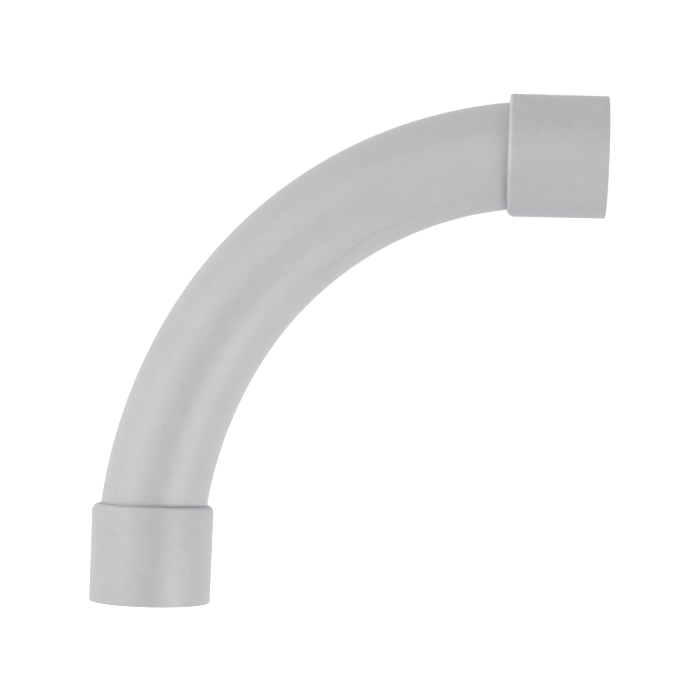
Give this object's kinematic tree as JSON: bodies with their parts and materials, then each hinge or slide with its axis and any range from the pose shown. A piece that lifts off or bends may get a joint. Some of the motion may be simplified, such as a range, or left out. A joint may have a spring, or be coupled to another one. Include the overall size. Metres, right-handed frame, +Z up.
{
  "type": "pvc conduit elbow",
  "caption": "Sweep elbow of plain grey PVC tube with a short push-on coupler at each end, for carrying cables between straight conduits that meet at a right angle.",
  "frame": {"origin": "centre of the lower coupler's open end, where the lower conduit enters", "axes": "+Z up the lower coupler towards the bend, +X out of the upper coupler, +Y across the bend's plane"},
  "size_m": [0.0949, 0.023, 0.098],
  "materials": {
    "bend_pvc": "light grey extruded PVC, semi-matte",
    "coupler_pvc": "light grey moulded PVC, semi-matte"
  },
  "bodies": {
    "bend": {"bend_tube": "bend_pvc"},
    "lower_coupler": {"lower_coupler": "coupler_pvc"},
    "upper_coupler": {"upper_coupler": "coupler_pvc"}
  },
  "joints": [
    {"name": "lower_coupler_slide", "type": "slide", "parent": "bend", "child": "lower_coupler", "axis": [0, 0, -1], "range_m": [0, 0.012]},
    {"name": "upper_coupler_slide", "type": "slide", "parent": "bend", "child": "upper_coupler", "axis": [1, 0, 0], "range_m": [0, 0.012]}
  ]
}
